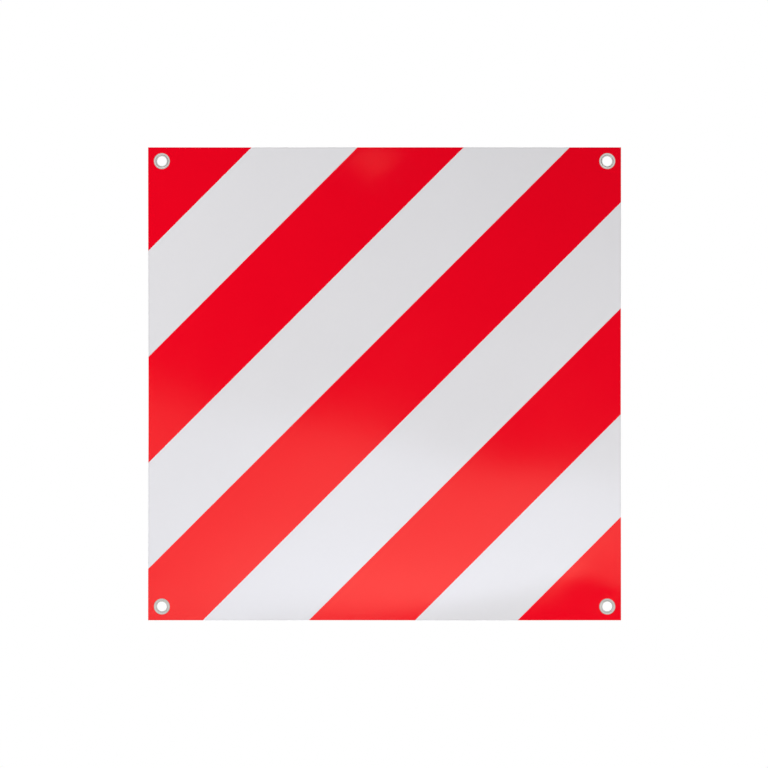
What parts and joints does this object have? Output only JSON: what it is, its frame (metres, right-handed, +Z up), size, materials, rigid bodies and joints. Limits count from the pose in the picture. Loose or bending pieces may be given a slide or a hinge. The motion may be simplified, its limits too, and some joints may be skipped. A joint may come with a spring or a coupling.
{
  "type": "load marker panel",
  "caption": "Square soft panel with slanting red and white stripes and corner eyelets, tied to the end of a load that sticks out past a vehicle.",
  "frame": {"origin": "middle of the eyelet pattern, on the back face of the sheet", "axes": "+X to the right and +Z up as seen from the front, +Y out of the back, along the eyelets"},
  "size_m": [0.5, 0.0032, 0.5],
  "materials": {
    "back_coating": "satin",
    "woven_cloth": "matte",
    "reflective_white": "satin",
    "red_print": "satin",
    "plated_metal": "gloss"
  },
  "bodies": {
    "root": {"back_film": "back_coating", "woven_core": "woven_cloth", "face_film": "reflective_white", "red_stripe_1": "red_print", "red_stripe_2": "red_print", "red_stripe_3": "red_print", "red_stripe_4": "red_print", "red_stripe_5": "red_print", "eyelet_top_left": "plated_metal", "washer_top_left": "plated_metal", "eyelet_top_right": "plated_metal", "washer_top_right": "plated_metal", "eyelet_bottom_left": "plated_metal", "washer_bottom_left": "plated_metal", "eyelet_bottom_right": "plated_metal", "washer_bottom_right": "plated_metal"}
  },
  "joints": []
}
